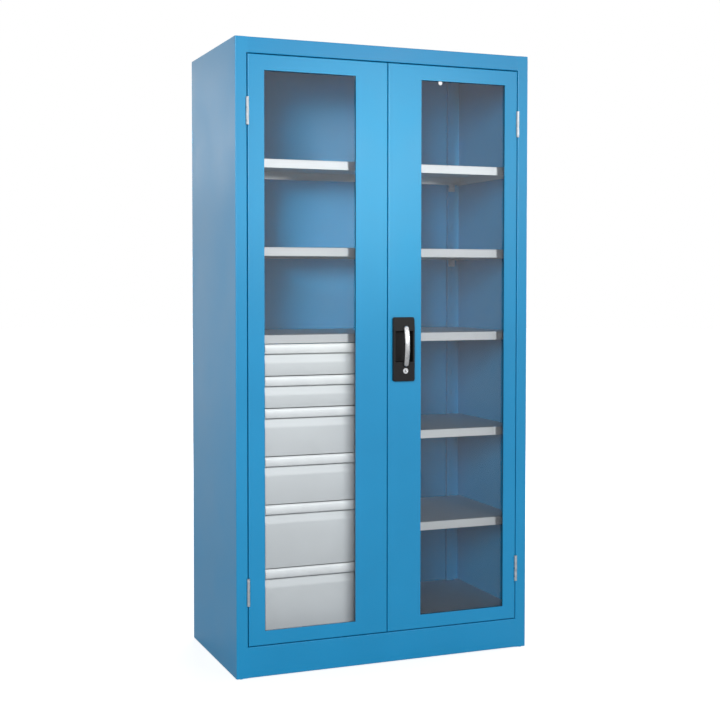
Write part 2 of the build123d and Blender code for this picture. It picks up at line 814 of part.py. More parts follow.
# Slide bolts of the left door and their guide plates
def slide_bolt(tip_z, reach):
    """Flat bolt with a finger knob, from its tip towards the door's middle."""
    with BuildPart() as bolt:
        with BuildSketch(depth_plane(rod_depth - rod_thickness / 2)):
            with Locations((bolt_x, tip_z - reach * bolt_length / 2)):
                Rectangle(bolt_width, bolt_length)
        extrude(amount=-rod_thickness)
        chamfer(bolt.faces().sort_by(Axis.Z)[-1 if reach > 0 else 0].edges(), 1)
        with BuildSketch(depth_plane(rod_depth + rod_thickness / 2)):
            with Locations((bolt_x, tip_z - reach * (bolt_length - bolt_width))):
                Circle(bolt_width / 2 - 1)
        extrude(amount=-(case_back - rod_depth - rod_thickness / 2))
    return bolt


top_bolt = slide_bolt(fascia_bottom - bolt_tip_play, 1)
finish(top_bolt, "top_bolt")

bottom_bolt = slide_bolt(plinth_top + bolt_tip_play, -1)
finish(bottom_bolt, "bottom_bolt")

with BuildPart() as bolt_guides:
    for z in (plinth_top + bolt_length / 5, fascia_bottom - bolt_length * 8 / 15):
        add(bar_guide(bolt_x, z, bolt_width, bolt_length / 3))
finish(bolt_guides, "bolt_guides")


# Drawers: a folded front with an overhanging grip strip, and a tray with rail flanges
def drawer_front(top, height):
    bottom = top - height + drawer_joint
    y_grip, y_back = front + drawer_setback, front + tray_setback
    with BuildPart() as face:
        with BuildSketch(Plane.YZ.offset(drawer_left)):
            with BuildLine():
                strip = ThreePointArc((y_grip + grip_bulge, top - grip_height),
                                      (y_grip, top - grip_height / 2),
                                      (y_grip + grip_bulge, top - grip_bulge))
                Polyline(strip @ 1, (y_grip + 2 * grip_bulge, top), (y_back, top),
                         (y_back, bottom + sheet), (y_back + front_return, bottom + sheet))
                offset(amount=sheet, side=Side.RIGHT)
            make_face()
        extrude(amount=drawer_right - drawer_left)
        with BuildSketch(Plane.YZ.offset(drawer_left), Plane.YZ.offset(drawer_right - sheet)):
            with Locations((y_back - sheet + front_return / 2, (bottom + top - grip_height) / 2)):
                Rectangle(front_return, top - grip_height - bottom)
        extrude(amount=sheet)
    return face


def drawer_tray(top, height):
    bottom = top - height + drawer_joint + tray_floor_gap
    tray_top = top - tray_top_gap
    y0 = front + tray_setback
    with BuildPart() as tray:
        with Locations(((tray_left + tray_right) / 2, y0 + drawer_length / 2,
                        (bottom + tray_top) / 2)):
            Box(tray_right - tray_left, drawer_length, tray_top - bottom)
        offset(amount=-tray_sheet, openings=tray.faces().sort_by(Axis.Z)[-1])
        for x in (tray_left - tray_flange / 2, tray_right + tray_flange / 2):
            with Locations((x, y0 + drawer_length / 2, tray_top - tray_sheet / 2)):
                Box(tray_flange, drawer_length, tray_sheet)
    return tray


for number, (top, height) in enumerate(zip(front_tops, drawer_heights), 1):
    finish(drawer_front(top, height), f"drawer_{number}_front")
    finish(drawer_tray(top, height), f"drawer_{number}_tray")

# Rails: channels on the lips of the partition and the runner wall
rail_length = drawer_length - (rail_setback - tray_setback)
with BuildPart() as drawer_rails:
    for top in front_tops:
        rail_top = top - tray_top_gap + rail_top_play
        for x, toward in ((runner_wall_right, 1), (-partition_x, -1)):
            add(folded_sheet(
                Plane.XZ.offset(-(front + rail_setback + rail_length)),
                [(x + toward * rail_width, rail_top), (x, rail_top), (x, rail_top - rail_height),
                 (x + toward * rail_width, rail_top - rail_height)],
                rail_sheet, rail_length, Side.LEFT if toward > 0 else Side.RIGHT, 0))
finish(drawer_rails, "drawer_rails")

with BuildPart() as rail_glides:
    for top in front_tops:
        glide_top = top - tray_top_gap - tray_sheet - glide_play
        glide_bottom = top - tray_top_gap + rail_top_play - rail_height + rail_sheet
        for x in (runner_wall_right + (rail_sheet + rail_width) / 2,
                  -partition_x - (rail_sheet + rail_width) / 2):
            for y in (rail_setback + glide_length, rail_setback + rail_length / 2):
                with Locations((x, front + y, (glide_top + glide_bottom) / 2)):
                    Box(rail_width - rail_sheet, glide_length, glide_top - glide_bottom)
finish(rail_glides, "rail_glides")

# Feet: screwed pads in corner brackets
foot_places = [(x, y) for x in (-side + foot_inset, side - foot_inset)
               for y in (front + foot_radius + panel, inner_back - foot_radius - panel)]
with BuildPart() as levelling_feet:
    with BuildSketch():
        with Locations(*foot_places):
            RegularPolygon(foot_radius, 6)
    extrude(amount=foot_height)
    with BuildSketch(Plane.XY.offset(foot_height)):
        with Locations(*foot_places):
            Circle(foot_stud_radius)
    extrude(amount=foot_plate_z - foot_height)
finish(levelling_feet, "levelling_feet")

with BuildPart() as foot_brackets:
    for x, y in foot_places:
        outward = 1 if x > 0 else -1
        add(folded_sheet(
            Plane.XZ.offset(-(y + foot_radius - 1)),
            [(x - outward * foot_radius, foot_plate_z), (outward * inner_side, foot_plate_z),
             (outward * inner_side, foot_plate_z + 2 * foot_radius)],
            foot_plate, 2 * foot_radius - 2, Side.LEFT if outward > 0 else Side.RIGHT, 0))
finish(foot_brackets, "foot_brackets")
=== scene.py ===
"""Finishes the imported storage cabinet: paints, plastics and plated metal, a studio and a camera."""
import math

import bmesh
import bpy
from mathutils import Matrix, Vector


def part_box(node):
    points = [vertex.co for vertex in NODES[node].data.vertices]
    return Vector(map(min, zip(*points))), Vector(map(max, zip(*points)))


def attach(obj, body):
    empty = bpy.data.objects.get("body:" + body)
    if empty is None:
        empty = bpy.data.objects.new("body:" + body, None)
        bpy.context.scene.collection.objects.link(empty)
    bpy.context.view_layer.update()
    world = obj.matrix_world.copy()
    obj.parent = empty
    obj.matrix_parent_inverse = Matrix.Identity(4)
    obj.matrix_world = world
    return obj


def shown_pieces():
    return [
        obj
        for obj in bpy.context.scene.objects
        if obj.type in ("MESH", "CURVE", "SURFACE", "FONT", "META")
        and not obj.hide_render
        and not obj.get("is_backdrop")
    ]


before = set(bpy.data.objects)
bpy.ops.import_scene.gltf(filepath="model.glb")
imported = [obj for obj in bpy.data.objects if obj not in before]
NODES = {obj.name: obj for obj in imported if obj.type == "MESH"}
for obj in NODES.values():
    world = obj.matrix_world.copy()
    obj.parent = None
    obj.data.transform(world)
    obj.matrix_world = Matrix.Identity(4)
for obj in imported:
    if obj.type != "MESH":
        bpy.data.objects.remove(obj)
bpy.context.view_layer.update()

bl_info = {
    "name": "Storage Cabinet Finish",
    "version": (1, 0, 0),
    "blender": (4, 5, 0),
    "location": "View3D > Sidebar > Cabinet",
    "description": "Gives a two-door steel storage cabinet its finishes, fittings and studio",
    "category": "Object",
}

DRAWERS = range(1, 1 + sum(name.endswith("_front") for name in NODES))
TO_BACK = Vector((0, 1, 0))
UP = Vector((0, 0, 1))


def linear(hex_code):
    """The linear colour of an sRGB hex code."""
    channels = (int(hex_code[place:place + 2], 16) / 255 for place in (1, 3, 5))
    return [c / 12.92 if c <= 0.04045 else ((c + 0.055) / 1.055) ** 2.4 for c in channels]


def rgba(hex_code):
    """The linear colour of an sRGB hex code, with full alpha."""
    return (*linear(hex_code), 1.0)


def per_metre(millimetres):
    """The texture scale at which one cell of a pattern is so many millimetres wide."""
    return 1000.0 / millimetres


# ---------------------------------------------------------------- properties

class CabinetFinish(bpy.types.PropertyGroup):
    """Colours and grain of the cabinet's surfaces."""
    body_colour: bpy.props.FloatVectorProperty(
        name="Body colour", description="Powder coat on the carcass and the doors",
        subtype="COLOR", size=3, min=0.0, max=1.0, default=linear("#128DC1"))
    shelf_colour: bpy.props.FloatVectorProperty(
        name="Shelf colour", description="Powder coat on the shelves and the floor",
        subtype="COLOR", size=3, min=0.0, max=1.0, default=linear("#E0E3E5"))
    drawer_colour: bpy.props.FloatVectorProperty(
        name="Drawer colour", description="Powder coat on the drawers",
        subtype="COLOR", size=3, min=0.0, max=1.0, default=linear("#C4C7C9"))
    pane_tint: bpy.props.FloatVectorProperty(
        name="Pane tint", description="Tint of the clear window panes",
        subtype="COLOR", size=3, min=0.0, max=1.0, default=linear("#FAFCFD"))
    plastic_colour: bpy.props.FloatVectorProperty(
        name="Handle colour", description="Moulded plastic of the handle plate",
        subtype="COLOR", size=3, min=0.0, max=1.0, default=linear("#161618"))
    peel_width: bpy.props.FloatProperty(
        name="Peel width", description="Width of one wave of the paint's orange peel",
        unit="LENGTH", min=0.001, default=0.005)
    # Painted highlight: edges are painted lighter over this width, partly as wear and thin paint and
    # partly as a highlight.
    edge_width: bpy.props.FloatProperty(
        name="Edge width", description="Width of the thin paint along folds and cut edges",
        unit="LENGTH", min=0.0002, default=0.0012)
    weld_width: bpy.props.FloatProperty(
        name="Weld width", description="Width over which a post's weld is ground",
        unit="LENGTH", min=0.001, default=0.006)
    weld_crown: bpy.props.FloatProperty(
        name="Weld crown", description="How far a ground weld stands proud",
        unit="LENGTH", min=0.00001, default=0.00006)
    grip_wall: bpy.props.FloatProperty(
        name="Grip wall", description="Thickness of the moulding on each drawer's grip",
        unit="LENGTH", min=0.0002, default=0.0006)
    grip_height: bpy.props.FloatProperty(
        name="Grip height", description="Height of a drawer's grip",
        unit="LENGTH", min=0.01, default=0.028)
    grip_depth: bpy.props.FloatProperty(
        name="Grip depth", description="From a grip's front to the drawer's face behind it",
        unit="LENGTH", min=0.002, default=0.011)
    grip_bulge: bpy.props.FloatProperty(
        name="Grip bulge", description="How far a grip's middle stands in front of its edges",
        unit="LENGTH", min=0.0005, default=0.0025)
    slope_height: bpy.props.FloatProperty(
        name="Slope height", description="Height of the slope under a grip",
        unit="LENGTH", min=0.008, default=0.03)
    front_rise: bpy.props.FloatProperty(
        name="Front rise", description="How far the slope brings a drawer's face forward",
        unit="LENGTH", min=0.001, default=0.0082)
    front_ease: bpy.props.FloatProperty(
        name="Front ease", description="Rounding along the edges of a drawer's face",
        unit="LENGTH", min=0.0002, default=0.0006)
    rivet_radius: bpy.props.FloatProperty(
        name="Rivet radius", description="Radius of the rivet heads on the window frames",
        unit="LENGTH", min=0.001, default=0.0028)
    rivet_inset: bpy.props.FloatProperty(
        name="Rivet inset", description="From the window frame's outer edge to its rivets",
        unit="LENGTH", min=0.001, default=0.0052)
    rivet_rows: bpy.props.IntProperty(
        name="Rivet rows", description="Rivets along each long side of a window frame",
        min=2, default=9)
    rivet_columns: bpy.props.IntProperty(
        name="Rivet columns", description="Rivets along each short side of a window frame",
        min=1, default=3)
    guide_ear: bpy.props.FloatProperty(
        name="Guide ear", description="Width of a guide beside its rod or bolt",
        unit="LENGTH", min=0.001, default=0.005)
    guide_screw: bpy.props.FloatProperty(
        name="Guide screw", description="Radius of the screw heads on the guides",
        unit="LENGTH", min=0.001, default=0.0021)
    case_screw: bpy.props.FloatProperty(
        name="Case screw", description="Radius of the screw heads on the lock case",
        unit="LENGTH", min=0.001, default=0.0035)
    case_inset: bpy.props.FloatProperty(
        name="Case inset", description="From the lock case's edges to its screws",
        unit="LENGTH", min=0.001, default=0.0065)
    barrel_radius: bpy.props.FloatProperty(
        name="Barrel radius", description="Radius of the hinge barrels",
        unit="LENGTH", min=0.001, default=0.005)
    pin_radius: bpy.props.FloatProperty(
        name="Pin radius", description="Radius of the hinge pins",
        unit="LENGTH", min=0.001, default=0.0025)
    washer_gap: bpy.props.FloatProperty(
        name="Washer gap", description="Gap between the two barrels of a hinge",
        unit="LENGTH", min=0.0001, default=0.0006)
    washer_thickness: bpy.props.FloatProperty(
        name="Washer thickness", description="Thickness of the washer in each hinge's gap",
        unit="LENGTH", min=0.0001, default=0.00042)


class CabinetStudio(bpy.types.PropertyGroup):
    """Places and levels of the studio."""
    floor_radius: bpy.props.FloatProperty(
        name="Floor radius", description="Radius of the round floor",
        unit="LENGTH", min=2.0, default=30.0)
    shelf_power: bpy.props.FloatProperty(
        name="Shelf power", description="Power of the small lamp on the full-width shelves",
        unit="POWER", min=0.0, default=15.6)
    bay_power: bpy.props.FloatProperty(
        name="Bay power", description="Power of the small low lamp on the half-width shelves",
        unit="POWER", min=0.0, default=11.6)
    top_share: bpy.props.FloatProperty(
        name="Top share", description="Share of the shelf power that the top shelf gets besides",
        min=0.0, default=0.31)
    upper_power: bpy.props.FloatProperty(
        name="Upper power", description="Power of the narrow lamp on the upper half of the doors",
        unit="POWER", min=0.0, default=0.8)
    right_power: bpy.props.FloatProperty(
        name="Right power", description="Power of the large lamp in front, to the right",
        unit="POWER", min=0.0, default=42.0)
    left_power: bpy.props.FloatProperty(
        name="Left power", description="Power of the large lamp in front, to the left",
        unit="POWER", min=0.0, default=285.0)
    drawer_power: bpy.props.FloatProperty(
        name="Drawer power", description="Power of the wide lamp above the camera, on the drawers",
        unit="POWER", min=0.0, default=440.0)
    wall_power: bpy.props.FloatProperty(
        name="Wall power", description="Power of the left lamp on the back wall",
        unit="POWER", min=0.0, default=205.0)
    window_power: bpy.props.FloatProperty(
        name="Window power", description="Power of the narrow lamp through the left window",
        unit="POWER", min=0.0, default=3.1)
    side_power: bpy.props.FloatProperty(
        name="Side power", description="Power of the large lamp to the left",
        unit="POWER", min=0.0, default=8.0)
    gloss_power: bpy.props.FloatProperty(
        name="Gloss power", description="Power of the lamp that shows in the left side's gloss",
        unit="POWER", min=0.0, default=2.2)
    far_power: bpy.props.FloatProperty(
        name="Far power", description="Power of each large lamp to the right and behind",
        unit="POWER", min=0.0, default=90.0)
    sky_level: bpy.props.FloatProperty(
        name="Sky level", description="Light from all round on the surfaces",
        min=0.0, default=0.22)
    lens: bpy.props.FloatProperty(
        name="Lens", description="Focal length of the camera",
        unit="CAMERA", min=1.0, default=63.8638)
    camera_place: bpy.props.FloatVectorProperty(
        name="Camera place", description="Where the camera stands",
        subtype="TRANSLATION", size=3, default=(-1.617879, -3.931233, 1.210979))
    camera_tilt: bpy.props.FloatProperty(
        name="Camera tilt", description="How far the camera looks down",
        unit="ROTATION", default=math.radians(2.04026))
    camera_turn: bpy.props.FloatProperty(
        name="Camera turn", description="How far the camera looks to the right",
        unit="ROTATION", default=math.radians(21.39629))
    camera_shift: bpy.props.FloatVectorProperty(
        name="Camera shift", description="How far the picture is shifted, in picture widths",
        size=2, default=(0.030866, -0.044444))


# ------------------------------------------------------------ material tools

# Noise seldom leaves this range, so patterns run from one end of it to the other.
NOISE_LOW, NOISE_HIGH = 0.3, 0.7
# How alike the true and the rounded-off surface face, at an edge and on the flat.
AT_EDGE, ON_FLAT = 0.82, 0.995


def add_node(tree, kind, settings=(), links=()):
    """Adds one node. Settings go to its sockets and options by name, links to its sockets."""
    node = tree.nodes.new(kind)
    for name, value in dict(settings).items():
        if isinstance(name, int) or name in node.inputs:
            node.inputs[name].default_value = value
        else:
            setattr(node, name, value)
    for name, source in dict(links).items():
        tree.links.new(source, node.inputs[name])
    return node


def blank_material(name):
    """A material without nodes, and its node tree."""
    material = bpy.data.materials.new(name)
    material.use_nodes = True
    material.node_tree.nodes.clear()
    return material, material.node_tree


def shade(colour, amount):
    """The colour made lighter, above 1, or darker, below 1."""
    return (*(min(1.0, channel * amount) for channel in colour[:3]), 1.0)


def worked_shader(tree, tones, patch, grain, relief, roughness, settings,
                  edge=None, fleck=None, stretch=None, gloss_in_grain=False):
    """A surface whose two tones drift over soft patches, with a fine grain in relief.

    Patch and grain are (width of a cell in mm, detail), and relief is (strength, depth in
    metres). Roughness runs from low to high over the patches, or over the grain. Settings go
    to the shader. An edge is (width, share, colour): folds and cut edges are painted lighter
    over that width, partly as wear and partly as a painted highlight where a rounded edge
    would catch the light. A fleck is (width of a cell in mm, share, colour), and a stretch
    scales the grain along each axis.
    """
    place = along = add_node(tree, "ShaderNodeTexCoord").outputs["Object"]
    if stretch:
        along = add_node(tree, "ShaderNodeMapping", {"Scale": stretch},
                         {"Vector": place}).outputs["Vector"]
    patches, grains = (
        add_node(tree, "ShaderNodeTexNoise", {"Scale": per_metre(width), "Detail": detail},
                 {"Vector": where}).outputs["Fac"]
        for (width, detail), where in ((patch, place), (grain, along)))
    drift = add_node(tree, "ShaderNodeMapRange", {"From Min": NOISE_LOW, "From Max": NOISE_HIGH},
                     {"Value": patches})
    colour = add_node(tree, "ShaderNodeMix", {"data_type": "RGBA", 6: tones[0], 7: tones[1]},
                      {0: drift.outputs["Result"]}).outputs[2]
    if fleck:
        width, share, fleck_colour = fleck
        speckle = add_node(tree, "ShaderNodeTexNoise", {"Scale": per_metre(width), "Detail": 1.0},
                           {"Vector": place})
        flecks = add_node(tree, "ShaderNodeMapRange", {
            "From Min": NOISE_LOW, "From Max": NOISE_HIGH, "To Max": share},
            {"Value": speckle.outputs["Fac"]})
        colour = add_node(tree, "ShaderNodeMix", {"data_type": "RGBA", 7: fleck_colour},
                          {0: flecks.outputs["Result"], 6: colour}).outputs[2]
    # Painted highlight: folds and cut edges are painted lighter, partly as wear and partly as the
    # light that a rounded edge catches.
    if edge:
        width, share, edge_wear_and_highlight_colour = edge
        rounded = add_node(tree, "ShaderNodeBevel", {"samples": 4, "Radius": width})
        flat = add_node(tree, "ShaderNodeNewGeometry")
        alike = add_node(tree, "ShaderNodeVectorMath", {"operation": "DOT_PRODUCT"},
                         {0: rounded.outputs["Normal"], 1: flat.outputs["Normal"]})
        edges = add_node(tree, "ShaderNodeMapRange", {
            "From Min": AT_EDGE, "From Max": ON_FLAT, "To Min": share, "To Max": 0.0},
            {"Value": alike.outputs["Value"]})
        colour = add_node(tree, "ShaderNodeMix", {"data_type": "RGBA", 7: edge_wear_and_highlight_colour},
                          {0: edges.outputs["Result"], 6: colour}).outputs[2]
    strength, depth = relief
    bump = add_node(tree, "ShaderNodeBump", {"Strength": strength, "Distance": depth},
                    {"Height": grains})
    smooth, dull = roughness
    gloss = add_node(tree, "ShaderNodeMapRange", {
        "From Min": NOISE_LOW, "From Max": NOISE_HIGH, "To Min": smooth, "To Max": dull},
        {"Value": grains if gloss_in_grain else patches})
    return add_node(tree, "ShaderNodeBsdfPrincipled", settings, {
        "Base Color": colour, "Roughness": gloss.outputs["Result"],
        "Normal": bump.outputs["Normal"]})


def worked_material(name, **recipe):
    """A material with one worked surface, by the recipe of worked_shader."""
    material, tree = blank_material(name)
    shader = worked_shader(tree, **recipe)
    add_node(tree, "ShaderNodeOutputMaterial", {}, {"Surface": shader.outputs[0]})
    return material


# ------------------------------------------------------------------ materials

def powder_coat(name, colour, roughness, finish):
    """Sheet steel with polyester powder sprayed on dry and baked. The film levels into a faint
    orange peel, runs a little thicker and thinner across a panel, and thins out on the folds,
    so it is satin and softly uneven in gloss. Every edge is painted a touch paler, partly for
    the thin film and partly as a painted highlight."""
    # The powder's specks are about 0.3 mm, which is drawn at 1.6 mm so that they show.
    return worked_material(
        name, tones=(shade(colour, 0.965), shade(colour, 1.03)), patch=(260.0, 3.0),
        grain=(finish.peel_width * 1000, 1.5), relief=(0.22, 0.00004),
        roughness=(roughness - 0.03, roughness + 0.04), settings={"IOR": 1.5},
        fleck=(1.6, 0.1, shade(colour, 1.16)), edge=(finish.edge_width, 0.3, shade(colour, 1.45)))


def clear_sheet(finish):
    """Cast acrylic, polished: clear, a mirror at a slant, and with the faint wave and wiping
    haze that a large thin sheet has. Lamps light the inside through it."""
    material, tree = blank_material("acrylic_sheet_cast")
    glass = worked_shader(
        tree, tones=(shade(finish.pane_tint, 1.0), shade(finish.pane_tint, 0.97)),
        patch=(90.0, 4.0), grain=(420.0, 1.0), relief=(0.05, 0.0008), roughness=(0.0, 0.03),
        settings={"IOR": 1.49, "Transmission Weight": 1.0})
    passed = add_node(tree, "ShaderNodeBsdfTransparent", {"Color": rgba("#FCFDFD")})
    ray = add_node(tree, "ShaderNodeLightPath")
    shader = add_node(tree, "ShaderNodeMixShader", {}, {
        0: ray.outputs["Is Shadow Ray"], 1: glass.outputs[0], 2: passed.outputs[0]})
    add_node(tree, "ShaderNodeOutputMaterial", {}, {"Surface": shader.outputs[0]})
    return material


def extruded_rubber():
    """EPDM rubber, extruded: near-black, dull, with a fine grain and a pale bloom."""
    # Its grain is about 0.2 mm, which is drawn at 0.9 mm so that it shows.
    return worked_material(
        "epdm_rubber_extruded", tones=(rgba("#1A1B1C"), rgba("#2A2B2C")), patch=(40.0, 4.0),
        grain=(0.9, 1.0), relief=(0.3, 0.0001), roughness=(0.62, 0.78), settings={"IOR": 1.52})


def zinc_plate(finish):
    """Steel, barrel-plated with zinc and clear passivated: bright silver with a cool cast, cloudy
    from part to part of one piece. Its edges are painted brighter, partly as rub wear and
    partly as a painted highlight."""
    # The plating's grain is about 0.1 mm, which is drawn at 0.8 mm so that it shows.
    return worked_material(
        "zinc_plated_steel_barrel_plated", tones=(rgba("#B2B8BD"), rgba("#D6DADD")),
        patch=(11.0, 4.0), grain=(0.8, 2.0), relief=(0.25, 0.00006), roughness=(0.26, 0.42),
        settings={"Metallic": 1.0}, edge=(finish.edge_width * 0.5, 1.0, rgba("#EEF0F1")))


def moulded_nylon():
    """Natural nylon, injection-moulded: milky, slightly waxy, with soft flow marks."""
    return worked_material(
        "nylon_injection_moulded", tones=(rgba("#DEDCD2"), rgba("#E8E6DE")), patch=(14.0, 2.0),
        grain=(14.0, 2.0), relief=(0.15, 0.0001), roughness=(0.38, 0.5),
        settings={"IOR": 1.53, "Subsurface Weight": 0.15, "Subsurface Scale": 0.002})


def moulded_black(finish):
    """Glass-filled polyamide, injection-moulded in a spark-eroded tool: black with a fine even
    grain that breaks the gloss. Its edges are painted a little lighter, partly where hands
    rub them and partly as a painted highlight."""
    # The tool's grain is about 0.1 mm, which is drawn at 0.6 mm so that it shows.
    return worked_material(
        "polyamide_injection_moulded_grained",
        tones=(shade(finish.plastic_colour, 1.0), shade(finish.plastic_colour, 1.35)),
        patch=(35.0, 2.0), grain=(0.6, 2.0), relief=(0.5, 0.00008), roughness=(0.42, 0.55),
        settings={"IOR": 1.53, "Specular IOR Level": 0.18},
        edge=(finish.edge_width, 0.6, rgba("#38383A")))


def satin_chrome(finish):
    """Die-cast zinc, brushed and satin chrome-plated: bright, with short soft streaks along the
    grip. Its edges are painted brighter, partly as polish and partly as a painted highlight."""
    # The brush's streaks are about 0.1 mm apart, which is drawn at 0.9 mm so that they show.
    return worked_material(
        "zinc_die_cast_satin_chromed", tones=(rgba("#B2B3B5"), rgba("#CFD0D2")),
        patch=(22.0, 2.0), grain=(0.9, 3.0), relief=(0.2, 0.00004), roughness=(0.22, 0.34),
        settings={"Metallic": 1.0}, edge=(finish.edge_width * 0.6, 1.0, rgba("#F2F2F2")),
        stretch=(1.0, 1.0, 0.06), gloss_in_grain=True)


def bright_chrome(finish):
    """Brass, turned and chrome-plated: a clear mirror with faint tool marks, and a rim painted
    brighter, partly as polish and partly as a painted highlight.
    """
    # The tool's marks are about 0.1 mm wide, which is drawn at 0.7 mm so that they show.
    return worked_material(
        "brass_turned_chromed", tones=(rgba("#C4C6CA"), rgba("#DDDFE2")), patch=(6.0, 2.0),
        grain=(0.7, 2.0), relief=(0.12, 0.00003), roughness=(0.12, 0.22),
        settings={"Metallic": 1.0}, edge=(finish.edge_width * 0.4, 1.0, rgba("#F4F5F6")))


def extruded_grip():
    """Rigid PVC, extruded: pale, satin, with fine lines along its length from the die."""
    # The die's lines are about 0.2 mm apart, which is drawn at 1.2 mm so that they show.
    return worked_material(
        "rigid_pvc_extruded", tones=(rgba("#D6D8DA"), rgba("#E0E2E3")), patch=(60.0, 2.0),
        grain=(1.2, 2.0), relief=(0.25, 0.00008), roughness=(0.34, 0.44),
        settings={"IOR": 1.53}, stretch=(0.02, 1.0, 1.0))


def turned_brass():
    """Brass, turned and left bare: warm yellow, dulled in patches by handling grease."""
    # The tool's marks are about 0.1 mm wide, which is drawn at 0.4 mm so that they show.
    return worked_material(
        "brass_turned_bare", tones=(rgba("#B8974A"), rgba("#DCBE72")), patch=(3.0, 3.0),
        grain=(0.4, 2.0), relief=(0.2, 0.00003), roughness=(0.22, 0.4),
        settings={"Metallic": 1.0})


# ----------------------------------------------------------------- mesh tools

# A pan screw shares these out, two to each of the twelve corners of its cross.
CIRCLE_STEPS = 24


def ring(build, points):
    """Vertices at these points, in order."""
    return [build.verts.new(point) for point in points]


def skin(build, first, second):
    """Faces between two closed rings of the same count."""
    count = len(first)
    for place in range(count):
        after = (place + 1) % count
        build.faces.new((first[place], first[after], second[after], second[place]))


def bar(build, outlines):
    """A closed bar between two outlines of the same count."""
    ends = [ring(build, points) for points in outlines]
    skin(build, *ends)
    for end in ends:
        build.faces.new(end)


def circle(centre, axis, radius, along):
    """Points round an axis, so far along it from its centre."""
    to_axis = axis.to_track_quat("Z", "Y")
    turns = [2 * math.pi * step / CIRCLE_STEPS for step in range(CIRCLE_STEPS)]
    return [centre + to_axis @ Vector((radius * math.cos(turn), radius * math.sin(turn), along))
            for turn in turns]


def turned(build, centre, axis, profile, closed=True):
    """Turns a profile of (radius, distance along the axis). Returns its last ring."""
    rings = [ring(build, circle(centre, axis, radius, along)) for radius, along in profile]
    for first, second in zip(rings, rings[1:]):
        skin(build, first, second)
    if closed:
        build.faces.new(rings[-1])
    return rings[-1]


def blind_rivet(build, centre, axis, radius):
    """A domed rivet head with the sunken end of its mandrel in the middle. Its profile is in
    shares of its radius."""
    turned(build, centre, axis, [(radius * wide, radius * high) for wide, high in (
        (1.0, -0.05), (1.0, 0.08), (0.94, 0.24), (0.78, 0.42), (0.55, 0.53), (0.36, 0.56),
        (0.33, 0.50), (0.33, 0.38), (0.30, 0.36))])


def pan_screw(build, centre, axis, radius):
    """A pan-head screw with a cross recess. Its profile is in shares of its radius."""
    rim = turned(build, centre, axis, [(radius * wide, radius * high) for wide, high in (
        (1.0, -0.05), (1.0, 0.18), (0.97, 0.36), (0.88, 0.50), (0.74, 0.58), (0.66, 0.60))],
        closed=False)
    to_axis = axis.to_track_quat("Z", "Y")
    arm, half = radius * 0.5, radius * 0.13
    corners = []
    for quarter in range(4):
        cosine, sine = math.cos(quarter * math.pi / 2), math.sin(quarter * math.pi / 2)
        corners += [(x * cosine - y * sine, x * sine + y * cosine)
                    for x, y in ((arm, half), (half, half), (half, arm))]
    top, floor = (
        ring(build, [centre + to_axis @ Vector((x * wide, y * wide, radius * high))
                     for x, y in corners])
        for wide, high in ((1.0, 0.58), (0.55, 0.15)))
    skin(build, top, floor)
    build.faces.new(floor)
    for place, corner in enumerate(top):
        start = 2 * place + 1
        build.faces.new((rim[start], rim[(start + 1) % len(rim)], rim[(start + 2) % len(rim)],
                         top[(place + 1) % len(top)], corner))


def washer(build, centre, axis, inner, outer, height):
    """A flat washer with eased edges."""
    ease = height * 0.25
    profile = [(inner, -height / 2), (outer - ease, -height / 2), (outer, -height / 2 + ease),
               (outer, height / 2 - ease), (outer - ease, height / 2), (inner, height / 2)]
    rings = [ring(build, circle(centre, axis, radius, along)) for radius, along in profile]
    for first, second in zip(rings, rings[1:] + rings[:1]):
        skin(build, first, second)


def grip_section(finish):
    """A grip moulding's section as (distance behind the grip's front, height above its top)."""
    wall, bulge, height = finish.grip_wall, finish.grip_bulge, finish.grip_height
    # The front's curve ends this far below the top, which slopes away behind it.
    top_slope, steps = 0.0025, 12
    middle, half = (height + top_slope) / 2, (height - top_slope) / 2
    levels = [-height + 2 * half * step / steps for step in range(steps + 1)]
    outer = [(bulge + 2 * wall, -height - wall), (bulge + wall * 0.2, -height - wall)]
    outer += [(bulge * ((z + middle) / half) ** 2 - wall, z) for z in levels]
    outer += [(2 * bulge - wall * 0.6, wall * 0.5), (2 * bulge + wall, wall * 0.8)]
    inner = [(2 * bulge + wall, wall * 0.1), (2 * bulge, wall * 0.1)]
    inner += [(bulge * ((z + middle) / half) ** 2 - wall * 0.1, z) for z in reversed(levels)]
    inner += [(bulge + 2 * wall, -height - wall * 0.1)]
    return outer + inner


def box_of(node):
    """The lowest and highest corners of a CAD node."""
    low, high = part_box(node)
    return Vector(low), Vector(high)


def solids_of(node):
    """The lowest and highest corners of each separate solid in a CAD node's mesh."""
    merge_distance = 0.00001
    copy = bmesh.new()
    copy.from_mesh(NODES[node].data)
    bmesh.ops.remove_doubles(copy, verts=copy.verts, dist=merge_distance)
    left, boxes = set(copy.verts), []
    while left:
        reached = [left.pop()]
        for vertex in reached:
            near = {edge.other_vert(vertex) for edge in vertex.link_edges} & left
            left -= near
            reached += near
        boxes.append(tuple(Vector([pick(v.co[axis] for v in reached) for axis in range(3)])
                           for pick in (min, max)))
    copy.free()
    return sorted(boxes, key=lambda box: tuple(box[0]))


def piece(name, build, material, body):
    """Makes an object of the mesh that was built, shaded smooth but for its corners, on a body."""
    corner_angle = math.radians(32.0)
    bmesh.ops.recalc_face_normals(build, faces=build.faces)
    mesh = bpy.data.meshes.new(name)
    build.to_mesh(mesh)
    build.free()
    for face in mesh.polygons:
        face.use_smooth = True
    mesh.set_sharp_from_angle(angle=corner_angle)
    mesh.materials.append(material)
    made = bpy.data.objects.new(name, mesh)
    bpy.context.scene.collection.objects.link(made)
    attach(made, body)
    return made


def with_ending(pieces, *endings):
    """From pieces by name, those whose names end in one of these words. Each word finds some."""
    for ending in endings:
        if not any(name.endswith(ending) for name in pieces):
            raise ValueError("no piece has a name that ends in " + ending)
    return [each for name, each in pieces.items() if name.endswith(endings)]


def coat(pieces, material):
    """Puts one finish on these pieces."""
    for each in pieces:
        each.data.materials.clear()
        each.data.materials.append(material)


# --------------------------------------------------------------- studio tools

